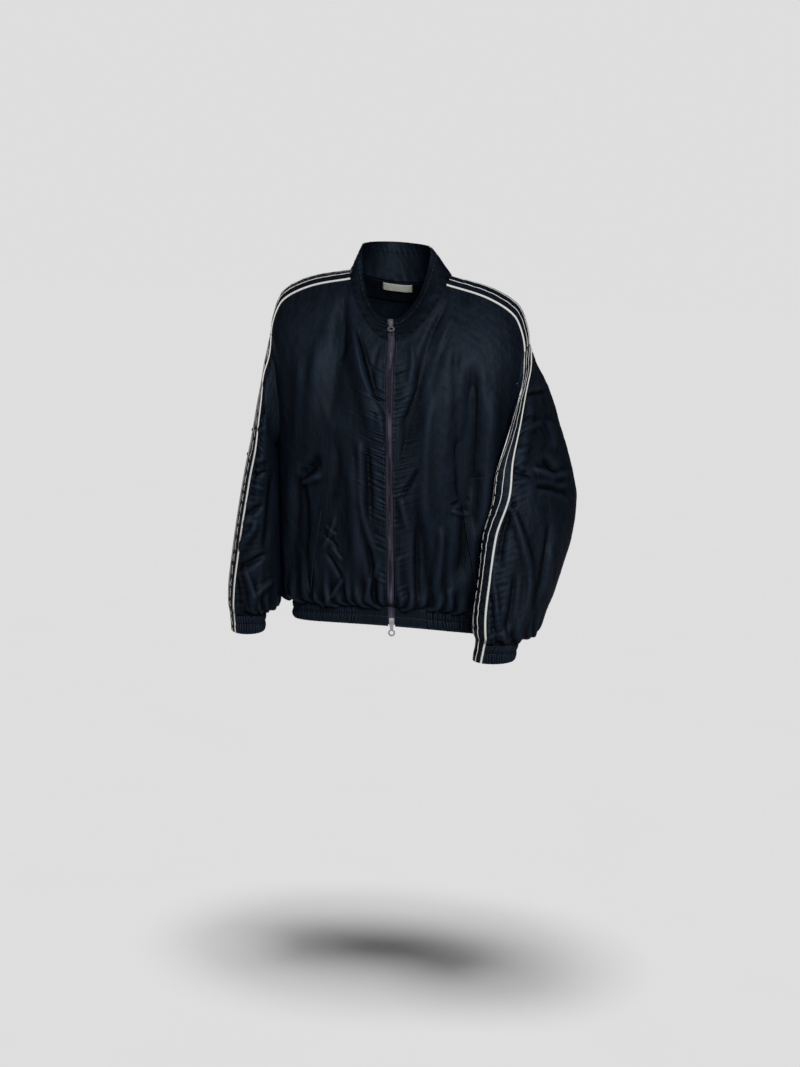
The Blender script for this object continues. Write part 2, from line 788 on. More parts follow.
class Graph:
    """A material's nodes."""

    def __init__(self, name: str) -> None:
        """Makes an empty material.

        Args:
            name: The material's name.
        """
        self.material = bpy.data.materials.new(name)
        self.material.use_nodes = True
        self.tree = self.material.node_tree
        self.tree.nodes.clear()

    def node(self, kind: str, settings: dict[str, Any], inputs: dict[Any, Any], output: Any = 0) -> Socket:
        """Adds a node.

        Args:
            kind: The node's type.
            settings: Its properties, set first. The key "stops" fills a colour ramp.
            inputs: Values or sockets by the input's name or number.
            output: Which output to return.

        Returns:
            The chosen output.
        """
        made = self.tree.nodes.new(kind)
        for key, value in settings.items():
            if key == "stops":
                ramp = made.color_ramp
                while len(ramp.elements) < len(value):
                    ramp.elements.new(1.0)
                for element, (at, shade) in zip(ramp.elements, value):
                    element.position = at
                    element.color = (shade, shade, shade, 1.0)
            else:
                setattr(made, key, value)
        for key, value in inputs.items():
            if isinstance(value, Socket):
                self.tree.links.new(value.link, made.inputs[key])
            else:
                made.inputs[key].default_value = value
        return Socket(self, made.outputs[output])

    def blend(self, share: Any, low: Any, high: Any) -> Socket:
        """Mixes two colours."""
        settings = {"data_type": "RGBA"}
        return self.node("ShaderNodeMix", settings, {0: share, 6: low, 7: high}, 2)

    def place(self) -> Socket:
        """Where the surface is in the object, in metres."""
        return self.node("ShaderNodeTexCoord", {}, {}, "Object")

    def laid(self) -> Socket:
        """Where the surface is on the laid-out cloth, in metres."""
        return self.node("ShaderNodeUVMap", {"uv_map": "Laid"}, {})

    def scaled(self, vector: Socket, by: tuple[float, float, float]) -> Socket:
        """A vector multiplied by another."""
        return self.node("ShaderNodeVectorMath", {"operation": "MULTIPLY"}, {0: vector, 1: by})

    def axis(self, vector: Socket, name: str) -> Socket:
        """One part of a vector."""
        return self.node("ShaderNodeSeparateXYZ", {}, {0: vector}, name)

    def noise(self, vector: Socket, scale: float, detail: float = 3.0, rough: float = 0.5) -> Socket:
        """Soft noise from 0 to 1."""
        inputs = {"Vector": vector, "Scale": scale, "Detail": detail, "Roughness": rough}
        return self.node("ShaderNodeTexNoise", {}, inputs, 0)

    def cells(self, vector: Socket, scale: float) -> Socket:
        """The distance to the edge of uneven cells."""
        settings = {"feature": "DISTANCE_TO_EDGE"}
        return self.node("ShaderNodeTexVoronoi", settings, {"Vector": vector, "Scale": scale}, "Distance")

    def hollow(self) -> Socket:
        """How far a place stands above the cloth round it, from -1 to 1, and 0 where that isn't kept."""
        return self.node("ShaderNodeAttribute", {"attribute_name": "Relief"}, {}, "Fac")

    def bump(self, height: Socket, distance: float, strength: float = 1.0) -> Socket:
        """A normal from a height in metres of distance."""
        return self.node("ShaderNodeBump", {}, {"Strength": strength, "Distance": distance, "Height": height})

    def finish(self, inputs: dict[str, Any]) -> bpy.types.Material:
        """Ends the graph in a Principled shader.

        Args:
            inputs: Values or sockets by the shader's input names.

        Returns:
            The material.
        """
        shader = self.node("ShaderNodeBsdfPrincipled", {}, inputs)
        output = self.tree.nodes.new("ShaderNodeOutputMaterial")
        self.tree.links.new(shader.link, output.inputs[0])
        return self.material


Colour = tuple[float, float, float]


def opaque(colour: Colour) -> tuple[float, float, float, float]:
    """The colour with full alpha."""
    return (*colour, 1.0)


@dataclass(frozen=True)
class NylonFinish:
    """Thin crinkled nylon with a soft sheen."""

    name: str = "navy_nylon"
    dark: Colour = (0.0004, 0.0006, 0.0014)
    light: Colour = (0.0082, 0.0128, 0.0222)
    gloss: Colour = (0.55, 0.77, 1.0)
    rough: float = 0.54
    crinkle: float = 0.0016

    def make(self) -> bpy.types.Material:
        """Builds the material: long faint streaks, fine crinkles and the plain weave."""
        g = Graph(self.name)
        place = g.place()
        streaks = g.noise(g.scaled(place, (1.0, 1.0, 0.05)), 260.0, 3.0, 0.6)
        bands = g.noise(g.scaled(place, (1.0, 1.0, 0.12)), 70.0, 3.0, 0.55)
        broad = g.noise(g.scaled(place, (1.0, 1.0, 0.5)), 26.0, 3.0, 0.55)
        ridges = 1.0 - abs(g.noise(g.scaled(place, (1.0, 1.0, 0.5)), 48.0, 3.0, 0.55) * 2.0 - 1.0)
        laid = g.laid()
        warp = (g.axis(laid, "X") * 9000.0).sine() * (g.axis(laid, "Y") * 9000.0).sine()
        crinkle = broad * 0.8 + bands * 0.62 + ridges**4.0 * 0.16 + streaks * 0.15
        height = crinkle + warp * 0.003
        shade = (streaks * 0.45 + broad * 0.35 + bands * 0.35 - 0.18 + g.hollow() * 0.46).clamped()
        colour = g.blend(shade, opaque(self.dark), opaque(self.light))
        rough = (self.rough - 0.06) + streaks * 0.12
        return g.finish(
            {
                "Base Color": colour,
                "Roughness": rough,
                "Normal": g.bump(height, self.crinkle),
                "Specular Tint": opaque(self.gloss),
                "IOR": 1.20,
            }
        )


@dataclass(frozen=True)
class CordFinish:
    """Twilled white piping and braid."""

    name: str = "white_piping"
    colour: Colour = (0.76, 0.76, 0.73)
    shadow: Colour = (0.46, 0.46, 0.45)

    def make(self) -> bpy.types.Material:
        """Builds the material: slanted ribs with a little grime between them."""
        g = Graph(self.name)
        laid = g.laid()
        ribs = ((g.axis(laid, "Y") * 5200.0 + g.axis(laid, "X") * 3600.0).sine() * 0.5) + 0.5
        wear = g.noise(g.place(), 190.0, 3.0)
        colour = g.blend((ribs * 0.45 + wear * 0.4).clamped(), opaque(self.shadow), opaque(self.colour))
        return g.finish({"Base Color": colour, "Roughness": 0.62, "Normal": g.bump(ribs + wear, 0.00022)})


@dataclass(frozen=True)
class TapeFinish:
    """Satin zip tape in fine herringbone."""

    name: str = "zip_tape"
    colour: Colour = (0.006, 0.005, 0.012)
    light: Colour = (0.040, 0.035, 0.062)
    rough: float = 0.42

    def make(self) -> bpy.types.Material:
        """Builds the material: woven chevrons and long sheen changes."""
        g = Graph(self.name)
        laid = g.laid()
        slant = abs((g.axis(laid, "X") * 900.0).sine()) * 3.0
        weave = (g.axis(laid, "Y") * 6200.0 + slant).sine() * 0.5 + 0.5
        long = g.noise(g.scaled(g.place(), (1.0, 1.0, 0.25)), 60.0, 2.0)
        sheen = (weave * 0.2 + (long * 2.6 - 0.85)).clamped()
        colour = g.blend(sheen, opaque(self.colour), opaque(self.light))
        return g.finish(
            {
                "Base Color": colour,
                "Roughness": (self.rough - 0.08) + long * 0.18,
                "Normal": g.bump(weave * 0.4 + long, 0.0005),
                "IOR": 1.25,
            }
        )


@dataclass(frozen=True)
class MetalFinish:
    """Plated metal with fine wear."""

    name: str = "silver_plate"
    colour: Colour = (0.78, 0.78, 0.81)
    worn: Colour = (0.40, 0.40, 0.42)
    rough: float = 0.36

    def make(self) -> bpy.types.Material:
        """Builds the material: small scratches and duller patches."""
        g = Graph(self.name)
        place = g.place()
        patches = g.noise(place, 420.0, 4.0, 0.65)
        scratches = g.noise(g.scaled(place, (1.0, 0.2, 6.0)), 900.0, 2.0)
        colour = g.blend(patches, opaque(self.worn), opaque(self.colour))
        return g.finish(
            {
                "Base Color": colour,
                "Metallic": 1.0,
                "Roughness": self.rough + patches * 0.14,
                "Normal": g.bump(scratches + patches, 0.00008),
            }
        )


@dataclass(frozen=True)
class LabelFinish:
    """A bare woven label in off-white satin."""

    name: str = "woven_label"
    colour: Colour = (0.62, 0.63, 0.56)
    thread: Colour = (0.40, 0.42, 0.37)

    def make(self) -> bpy.types.Material:
        """Builds the material: close ribs across the label and a faint unevenness."""
        g = Graph(self.name)
        laid = g.laid()
        ribs = (g.axis(laid, "Y") * 7000.0).sine() * 0.5 + 0.5
        floats = (g.axis(laid, "X") * 8200.0).sine() * 0.5 + 0.5
        cloudy = g.noise(g.place(), 150.0, 3.0)
        colour = g.blend((ribs * 0.4 + floats * 0.2 + cloudy * 0.5).clamped(), opaque(self.thread), opaque(self.colour))
        return g.finish({"Base Color": colour, "Roughness": 0.6, "Normal": g.bump(ribs + floats + cloudy, 0.0002)})


@dataclass(frozen=True)
class ThreadFinish:
    """Sewing thread with its twist."""

    name: str = "navy_thread"
    colour: Colour = (0.006, 0.009, 0.016)
    light: Colour = (0.016, 0.021, 0.033)

    def make(self) -> bpy.types.Material:
        """Builds the material: twisted strands that catch the light."""
        g = Graph(self.name)
        twist = g.noise(g.place(), 1500.0, 2.0)
        colour = g.blend(twist, opaque(self.colour), opaque(self.light))
        return g.finish({"Base Color": colour, "Roughness": 0.42, "Normal": g.bump(twist, 0.0002)})


@dataclass(frozen=True)
class CoilFinish:
    """Nylon zip coil."""

    name: str = "zip_coil"
    colour: Colour = (0.004, 0.004, 0.009)
    light: Colour = (0.085, 0.078, 0.125)

    def make(self) -> bpy.types.Material:
        """Builds the material: glossy turns, lighter where they have rubbed."""
        g = Graph(self.name)
        rubbed = g.noise(g.place(), 300.0, 3.0)
        long = g.noise(g.scaled(g.place(), (1.0, 1.0, 0.3)), 55.0, 2.0)
        colour = g.blend((long * 3.4 + rubbed * 0.3 - 1.65).clamped(), opaque(self.colour), opaque(self.light))
        normal = g.bump(rubbed, 0.0001)
        return g.finish({"Base Color": colour, "Roughness": 0.32 + rubbed * 0.2, "Normal": normal, "IOR": 1.30})


class Workshop:
    """Turns patches into pieces of the scene and keeps the finishes."""

    def __init__(self) -> None:
        """Makes every finish once."""
        nylon = NylonFinish()
        self.finishes = {
            "shell": nylon.make(),
            "band": NylonFinish(name="navy_band", crinkle=0.0009).make(),
            "collar": NylonFinish(name="collar_nylon", light=(0.0052, 0.0082, 0.0142), gloss=(0.44, 0.62, 0.84)).make(),
            "piping": CordFinish().make(),
            "tape": TapeFinish().make(),
            "coil": CoilFinish().make(),
            "metal": MetalFinish().make(),
            "label": LabelFinish().make(),
            "thread": ThreadFinish().make(),
        }

    def _object(self, name: str, points: Array, faces: Array, laid: Array | None, finish: str) -> bpy.types.Object:
        """Makes a smooth mesh object in metres."""
        mesh = bpy.data.meshes.new(name)
        mesh.from_pydata((points * MM).tolist(), [], faces.tolist())
        if laid is not None:
            uv = mesh.uv_layers.new(name="Laid")
            corners = np.empty(len(mesh.loops), dtype=np.int32)
            mesh.loops.foreach_get("vertex_index", corners)
            uv.data.foreach_set("uv", (laid[corners] * MM).astype(np.float32).ravel())
        mesh.polygons.foreach_set("use_smooth", np.ones(len(mesh.polygons), dtype=bool))
        mesh.materials.append(self.finishes[finish])
        mesh.update()
        made = bpy.data.objects.new(name, mesh)
        bpy.context.scene.collection.objects.link(made)
        return made

    def grid(
        self, name: str, points: Array, out: Array, laid: Array, finish: str, thickness: float = 0.0
    ) -> bpy.types.Object:
        """Makes a sheet from a grid of points.

        Args:
            name: The piece's name.
            points: The grid, rows by columns by three.
            out: Its outward directions, which the faces follow.
            laid: The same grid laid out flat, rows by columns by two.
            finish: Which finish it takes.
            thickness: The shell's thickness, or 0 for an open sheet.

        Returns:
            The piece.
        """
        rows, columns = points.shape[:2]
        at = np.arange(rows * columns).reshape(rows, columns)
        faces = np.stack([at[:-1, :-1], at[1:, :-1], at[1:, 1:], at[:-1, 1:]], axis=-1).reshape(-1, 4)
        i, j = rows // 2, columns // 2
        turned = np.cross(points[i + 1, j] - points[i, j], points[i, j + 1] - points[i, j])
        if float(turned @ out[i, j]) < 0:
            faces = faces[:, ::-1]
        made = self._object(name, points.reshape(-1, 3), faces, laid.reshape(-1, 2), finish)
        if thickness > 0:
            shell = made.modifiers.new("shell", "SOLIDIFY")
            shell.thickness = thickness * MM
            shell.offset = 0.0
        return made

    def sheet_of(self, name: str, patch: Patch, height: Array | float, finish: str, thickness: float) -> bpy.types.Object:
        """Makes a cloth shell from a patch lifted by its relief."""
        laid = np.stack([patch.start, patch.down], axis=-1)
        relief = np.broadcast_to(height, patch.down.shape)
        made = self.grid(name, patch.raised(relief), patch.out, laid, finish, thickness)
        kept = made.data.attributes.new("Relief", "FLOAT", "POINT")
        kept.data.foreach_set("value", stand(relief).ravel().astype(np.float32))
        return made

    def bead(self, name: str, patch: Patch, base: Array | float, rise: float, finish: str) -> bpy.types.Object:
        """Makes a rounded strip that lies on the cloth.

        Args:
            name: The piece's name.
            patch: The strip's grid, with its edges at the first and last columns.
            base: The height that its edges lie at.
            rise: How much higher its middle is.
            finish: Which finish it takes.

        Returns:
            The piece.
        """
        share = np.linspace(-1.0, 1.0, patch.points.shape[1])
        height = np.broadcast_to(base, patch.down.shape) + rise * np.sqrt(np.maximum(0.0, 1.0 - share**2))
        laid = np.stack([patch.start, patch.down], axis=-1)
        return self.grid(name, patch.raised(height), patch.out, laid, finish)

    def stitches(self, name: str, points: Array, out: Array, length: float = 2.3, gap: float = 1.0) -> bpy.types.Object:
        """Makes a run of stitches along a line.

        Args:
            name: The piece's name.
            points: The line that they follow.
            out: The outward direction at each point of it.
            length: How long a stitch is.
            gap: How far apart two stitches are.

        Returns:
            The piece.
        """
        line = Line(points)
        facing = Line(np.concatenate([points[:, :1] * 0, out[:, 1:]], axis=1))
        starts = np.arange(gap, line.length - length, length + gap)
        facing.points, facing.reach = out, line.reach
        heads, tails = line(starts), line(starts + length)
        ways = tails - heads
        ways /= np.linalg.norm(ways, axis=1, keepdims=True)
        ups = facing(starts + length / 2)
        ups /= np.linalg.norm(ups, axis=1, keepdims=True)
        beside = np.cross(ways, ups)
        corners = []
        for end, spot in ((0.0, heads), (0.5, (heads + tails) / 2), (1.0, tails)):
            lift = 0.28 if end == 0.5 else 0.02
            for across, rise in ((-0.24, 0.0), (0.0, 0.22), (0.24, 0.0)):
                corners.append(spot + beside * across + ups * (lift + rise))
        spots = np.stack(corners, axis=1)
        quads = np.array([[0, 1, 4, 3], [1, 2, 5, 4], [3, 4, 7, 6], [4, 5, 8, 7]])
        faces = (quads[None] + 9 * np.arange(len(starts))[:, None, None]).reshape(-1, 4)
        return self._object(name, spots.reshape(-1, 3), faces, None, "thread")

    def seat(self, piece: bpy.types.Object, nodes: Iterable[str] = (), slot: str = "shell") -> bpy.types.Object:
        """Fixes a piece to the garment and says which nodes it stands for."""
        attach(piece, BODY)
        nodes = list(nodes)
        if nodes:
            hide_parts(*nodes)
        LOG.info("%s: %d vertices", piece.name, len(piece.data.vertices))
        return piece


@dataclass
class BodyPanels:
    """The two fronts and the back."""

    shop: Workshop
    form: BodyForm
    folds: Folds
    thickness: float = 0.0
    front_columns: int = 112
    back_columns: int = 200
    row_step: float = 2.2

    def downs(self) -> Array:
        """The rows of a body panel, closer at the foot of the armhole."""
        even = np.arange(0.0, HEM_SEAM - SEAM, self.row_step)
        ends = [-TUCK, ARMHOLE_TOP, HEM_SEAM - SEAM, HEM_SEAM + TUCK]
        return np.unique(np.concatenate([even, np.arange(405.9, 440.0, 2.2), ends]))

    def front_row(self, down: float, columns: int) -> Array:
        """The places along one row of a front, from the side to the zip."""
        edge = self.form.edge(Face.FRONT, down)
        whole = self.form.arc(Face.FRONT, min(max(0.0, down), HEM_SEAM)).length - ZIP_OPEN_HALF
        share = np.linspace(0.0, 1.0, columns + 1)
        return edge + (whole - edge) * share

    def front_relief(self, side: int, patch: Patch) -> Array:
        """The folds, gathers and puckers of a front."""
        seed = 11 if side > 0 else 23
        p, down = patch.points, patch.down
        zip_off, side_off, hem_off = patch.end, patch.start, HEM_SEAM - down
        height = self.folds.lift(p, patch.out)
        height += 0.75 * crumple(p, 34.0, seed, 2.6) + 0.5 * crumple(p, 17.0, seed + 1, 1.6)
        height += 0.22 * crumple(p, 9.0, seed + 9, 1.5)
        middle = smooth((down - 60) / 60) * (1.0 - 0.55 * smooth((down - 420) / 120))
        pucker = ruffle(down + 0.5 * zip_off, 6.4, seed + 2) + 0.9 * ruffle(down + 0.8 * zip_off, 12.0, seed + 3)
        pucker = pucker * (0.55 + 0.65 * ruffle(down, 34.0, seed + 7))
        height += 3.0 * middle * pucker * np.exp(-((zip_off / 22.0) ** 1.2)) * smooth(zip_off / 3.0)
        gather = 2.6 * ruffle(patch.across + 0.12 * hem_off, 5.0, seed + 4) * np.exp(-hem_off / 18.0)
        gather += 5.6 * ruffle(patch.across - 0.1 * hem_off, 12.0, seed + 5) * np.exp(-((hem_off / 52.0) ** 2))
        gather += 3.6 * ruffle(patch.across + 0.2 * hem_off, 26.0, seed + 8) * np.exp(-((hem_off / 95.0) ** 2))
        blouse = 5.0 * np.exp(-(((hem_off - 26.0) / 24.0) ** 2))
        height += (gather + blouse) * smooth(zip_off / 14.0)
        upper = smooth((ARMHOLE_TOP + 120 - down) / 60)
        height += 0.8 * upper * ruffle(down - 0.5 * side_off, 7.0, seed + 6) * np.exp(-side_off / 16.0)
        height *= smooth(side_off / 9.0) * smooth(hem_off / 5.0) * smooth(zip_off / 4.0) * smooth(down / 10.0)
        return np.maximum(height, -1.4 - 9.0 * smooth((zip_off - 7.0) / 20.0))

    def front_patch(self, side: int, downs: Array, across: list[Array]) -> Patch:
        """A patch on a front."""
        return Patch.over(self.form.surface(side).row, downs, across)

    def back_surface(self, down: float, across: Array) -> tuple[Array, Array]:
        """One row of the back, measured from the centre back towards the wearer's right."""
        whole = self.form.arc(Face.BACK, min(max(0.0, down), HEM_SEAM)).length
        left, right = self.form.surface(1), self.form.surface(-1)
        p, n = left.row(down, -(whole + across) - 1e-6)
        q, m = right.row(down, -(whole - across) - 1e-6)
        near = (across < 0)[:, None]
        return np.where(near, p, q), np.where(near, n, m)

    def build_back(self) -> None:
        """Makes the back."""
        downs = self.downs()[::2]
        downs = np.unique(np.append(downs, [-TUCK, HEM_SEAM + TUCK]))
        share = np.linspace(-1.0, 1.0, self.back_columns + 1)
        rows = []
        for down in downs:
            whole = self.form.arc(Face.BACK, min(max(0.0, down), HEM_SEAM)).length
            rows.append((whole - self.form.edge(Face.BACK, down)) * share)
        patch = Patch.over(self.back_surface, downs, rows)
        side_off = np.minimum(patch.start, patch.end)
        hem_off = HEM_SEAM - patch.down
        p = patch.points
        height = self.folds.lift(p, patch.out)
        height += 0.8 * crumple(p, 36.0, 41, 2.4) + 0.5 * crumple(p, 17.0, 42, 1.6)
        gather = 1.9 * ruffle(patch.across + 0.1 * hem_off, 5.0, 43) * np.exp(-hem_off / 17.0)
        gather += 3.2 * ruffle(patch.across - 0.1 * hem_off, 12.5, 44) * np.exp(-((hem_off / 46.0) ** 2))
        height += gather + 4.0 * np.exp(-(((hem_off - 24.0) / 22.0) ** 2))
        height += 0.9 * ruffle(patch.down - 0.5 * side_off, 8.0, 45) * np.exp(-side_off / 18.0)
        height += 0.8 * ruffle(patch.across, 8.0, 46) * np.exp(-patch.down / 16.0)
        height *= smooth(side_off / 9.0) * smooth(hem_off / 5.0) * smooth(patch.down / 8.0)
        piece = self.shop.sheet_of("back_cloth", patch, height, "shell", self.thickness)
        self.shop.seat(piece, ["back"])

    def build_front(self, side: Side) -> None:
        """Makes one front and the stitching along its zip edge."""
        downs = self.downs()
        rows = [self.front_row(float(d), self.front_columns) for d in downs]
        patch = self.front_patch(side.value, downs, rows)
        height = self.front_relief(side.value, patch)
        piece = self.shop.sheet_of(f"front_{side.word}_cloth", patch, height, "shell", self.thickness)
        self.shop.seat(piece, [f"front_{side.word}"])
        points = patch.raised(height + self.thickness / 2 + 0.05)
        nearest = np.argmin(np.abs(patch.end - 3.2), axis=1)
        rows_at = np.arange(len(downs))
        line, out = points[rows_at, nearest], patch.out[rows_at, nearest]
        self.shop.seat(self.shop.stitches(f"front_{side.word}_stitching", line, out), slot="shell")

    def build(self) -> None:
        """Makes all three."""
        self.build_back()
        for side in Side:
            self.build_front(side)


@dataclass
class Pockets:
    """The slanted welts of the side pockets, with their stitching."""

    shop: Workshop
    panels: BodyPanels
    top: tuple[float, float] = (138.0, -430.0)
    end: tuple[float, float] = (158.0, -572.0)
    width: float = 17.0
    steps: int = 90

    def spot(self, side: int, x: float, z: float) -> tuple[float, float]:
        """Finds the place on a front that is seen at (x, z)."""
        down, along = UNDERARM, BAND_HALF
        for _ in range(40):
            q = self.panels.form.place(side, down, np.array([along]))[0]
            down += q[2] - z
            along += side * (q[0] - x)
        return float(down), float(along)

    def build(self) -> None:
        """Makes both welts."""
        for side in Side:
            s = side.value
            start = self.spot(s, s * self.top[0] - SWAY * self.top[1], self.top[1])
            end = self.spot(s, s * self.end[0] - SWAY * self.end[1], self.end[1])
            share = np.linspace(-0.02, 1.02, self.steps + 1)
            downs = start[0] + (end[0] - start[0]) * share
            middle = start[1] + (end[1] - start[1]) * share
            offs = self.width * np.linspace(-0.5, 0.5, 13)
            patch = self.panels.front_patch(s, downs, [m + offs for m in middle])
            lay = self.lay(s, patch)
            edge = np.minimum(patch.start, patch.end)
            pucker = ruffle(patch.down + 0.6 * patch.start, 3.6, 71 + s) * np.exp(-edge / 3.0)
            height = lay + 1.5 + 0.7 * smooth(edge / 2.5) + 0.45 * pucker
            piece = self.shop.sheet_of(f"pocket_welt_{side.word}_cloth", patch, height, "shell", 0.9)
            self.shop.seat(piece, [f"pocket_welt_{side.word}"])
            points = patch.raised(height + 0.5)
            for label, column in (("inner", 1), ("outer", 11)):
                name = f"pocket_{side.word}_{label}_stitching"
                self.shop.seat(self.shop.stitches(name, points[:, column], patch.out[:, column]))

    def lay(self, side: int, patch: Patch) -> Array:
        """How high the front's own cloth lies under the welt."""
        full = [self.panels.front_row(float(d), 2) for d in patch.down[:, 0]]
        edge = np.array([row[0] for row in full])[:, None]
        zip_at = np.array([row[-1] for row in full])[:, None]
        under = Patch(patch.points, patch.out, patch.down, patch.across, patch.across - edge, zip_at - patch.across)
        return self.panels.front_relief(side, under)


@dataclass
class Collar:
    """The stand collar, its stitching, the cloth inside the neck and the bare label."""

    shop: Workshop
    form: BodyForm
    front_share: float = 0.55
    rows: int = 34
    columns: int = 260
    thickness: float = 2.2

    def row(self, up: float, share: Array) -> tuple[Array, Array]:
        """One row round the collar, from the left zip edge to the right by way of the back."""
        around = 2 * np.where(share < 0.5, share, 1.0 - share)
        arc = self.form.arc(Face.FRONT, -round(up, 4))
        reach = self.form.neck[Face.FRONT] * (1.0 - ZIP_OPEN_HALF / arc.length)
        in_front = reach * (1.0 - around / self.front_share)
        behind = self.form.neck[Face.BACK] * (around - self.front_share) / (1.0 - self.front_share)
        along = np.where(around < self.front_share, in_front, -np.minimum(behind, self.form.neck[Face.BACK] - 0.01))
        p, n = self.form.surface(1).row(-up, along)
        q, m = self.form.surface(-1).row(-up, along)
        left = (share < 0.5)[:, None]
        return np.where(left, p, q), np.where(left, n, m)

    def build(self) -> None:
        """Makes the collar and what is sewn inside the neck."""
        ups = np.linspace(SEAM / 2, COLLAR_HEIGHT, self.rows + 1)
        share = np.linspace(0.0, 1.0, self.columns + 1)
        patch = Patch.over(self.row, ups, [share] * len(ups))
        ends = np.minimum(patch.start, patch.end)
        top_off = COLLAR_HEIGHT - patch.down
        length = patch.start
        height = 0.8 * crumple(patch.points, 26.0, 61, 1.2) + 0.5 * crumple(patch.points, 12.0, 62)
        height += 1.0 * ruffle(length + 0.5 * patch.down, 9.0, 63) * np.exp(-((patch.down / 15.0) ** 2))
        height += 0.6 * ruffle(length - 0.4 * top_off, 5.0, 64) * np.exp(-(((top_off - 15.0) / 6.0) ** 2))
        height += 1.1 * ruffle(patch.down * 1.0 + 0.3 * ends, 7.0, 65) * np.exp(-ends / 14.0)
        height -= 0.5 * np.exp(-(((top_off - 15.0) / 1.4) ** 2))
        height *= smooth(patch.down / 5.0) * smooth(ends / 3.0 + 0.25)
        piece = self.shop.sheet_of("collar_cloth", patch, height, "collar", self.thickness)
        self.shop.seat(piece, ["collar"])
        raised = patch.raised(height + self.thickness / 2 + 0.05)
        row = int(np.argmin(np.abs(ups - (COLLAR_HEIGHT - 15.0))))
        self.shop.seat(self.shop.stitches("collar_stitching", raised[row], patch.out[row]))
        self.build_inside()

    def inside(self, down: float, across: Array) -> tuple[Array, Array]:
        """One row inside the back of the neck, measured from the centre back."""
        whole = self.form.arc(Face.BACK, down).length
        p, n = self.form.surface(1).row(down, np.abs(across) - whole)
        q, m = self.form.surface(-1).row(down, np.abs(across) - whole)
        left = (across > 0)[:, None]
        return np.where(left, p, q), -np.where(left, n, m)

    def build_inside(self) -> None:
        """Makes the neck facing and the label."""
        downs = np.linspace(2.0, 62.0, 22)
        rows = [(self.form.arc(Face.BACK, float(d)).length - BAND_HALF) * 0.9 * np.linspace(1.0, -1.0, 91) for d in downs]
        patch = Patch.over(self.inside, downs, rows)
        depth = CLOTH / 2 + 1.3
        relief = 0.5 * crumple(patch.points, 18.0, 81)
        piece = self.shop.sheet_of("neck_facing_cloth", patch, depth + relief, "collar", 0.6)
        self.shop.seat(piece, ["neck_facing"])
        downs = np.linspace(4.0, 27.0, 14)
        across = -12.0 + 28.0 * np.linspace(1.0, -1.0, 41)
        patch = Patch.over(self.inside, downs, [across] * len(downs))
        ends = np.minimum(patch.start, patch.end)
        belly = 0.9 * smooth(ends / 14.0) + 0.35 * np.sin(patch.start / 7.0)
        piece = self.shop.sheet_of("neck_label", patch, depth + 1.9 + belly, "label", 0.6)
        self.shop.seat(piece, ["label"], slot="label")
        raised = patch.raised(depth + 2.3 + belly)
        for label, column in (("near", 1), ("far", -2)):
            run = self.shop.stitches(f"label_stitching_{label}", raised[:, column], patch.out[:, column], 1.3, 0.6)
            self.shop.seat(run, slot="shell")


@dataclass
class HemBand:
    """The gathered hem band in two channels."""

    shop: Workshop
    form: BodyForm
    panels: BodyPanels
    rows: int = 16
    wall: float = 1.5
    channels: int = 2

    def relief(self, patch: Patch, seed: int, plain: Array | float = 1.0) -> Array:
        """Short uneven gathers over the elastic, pinched at its sewn lines."""
        share = (patch.down - HEM_SEAM) / HEM_HEIGHT
        hump = np.abs(np.sin(math.pi * self.channels * np.clip(share, 0.0, 1.0))) ** 0.55
        line = np.floor(np.clip(share, 0.0, 0.999) * self.channels)
        waves = ruffle(patch.across + 1.3 * line + 0.6 * np.sin(share * 9.0), 2.5, seed)
        waves = waves + 0.6 * ruffle(patch.across - 2.0 * share, 6.0, seed + 1)
        return plain * (1.9 * hump - 0.9 + (0.5 + 1.3 * hump) * waves) * smooth(share / 0.06 + 0.2)

    def lines(self, name: str, patch: Patch, height: Array) -> None:
        """Sews the lines that part the channels."""
        raised = patch.raised(height + self.wall / 2 + 0.05)
        for k, share in enumerate((0.03, 0.5, 0.95)):
            row = int(round(share * (len(raised) - 1)))
            run = self.shop.stitches(f"{name}_stitching_{k + 1}", raised[row], patch.out[row])
            self.shop.seat(run)

    def build(self) -> None:
        """Makes the three lengths of the band."""
        downs = np.linspace(HEM_SEAM + SEAM, HEM_SEAM + HEM_HEIGHT, self.rows + 1)
        whole = self.form.arc(Face.FRONT, HEM_SEAM).length - ZIP_OPEN_HALF
        for side in Side:
            across = np.linspace(SEAM / 2, whole, 281)
            patch = Patch.over(self.form.surface(side.value).row, downs, [across] * len(downs))
            plain = 0.12 + 0.88 * smooth((whole - HEM_PLAIN_END - patch.across) / 12.0)
            height = self.relief(patch, 91 + side.value, plain)
            name = f"hem_front_{side.word}"
            piece = self.shop.sheet_of(f"{name}_cloth", patch, height, "shell", self.wall)
            self.shop.seat(piece, [name])
            self.lines(name, patch, height)
        reach = self.form.arc(Face.BACK, HEM_SEAM).length - SEAM / 2
        across = np.linspace(-reach, reach, 601)
        patch = Patch.over(self.panels.back_surface, downs, [across] * len(downs))
        height = self.relief(patch, 97)
        piece = self.shop.sheet_of("hem_back_cloth", patch, height, "shell", self.wall)
        self.shop.seat(piece, ["hem_back"])
        self.lines("hem_back", patch, height)


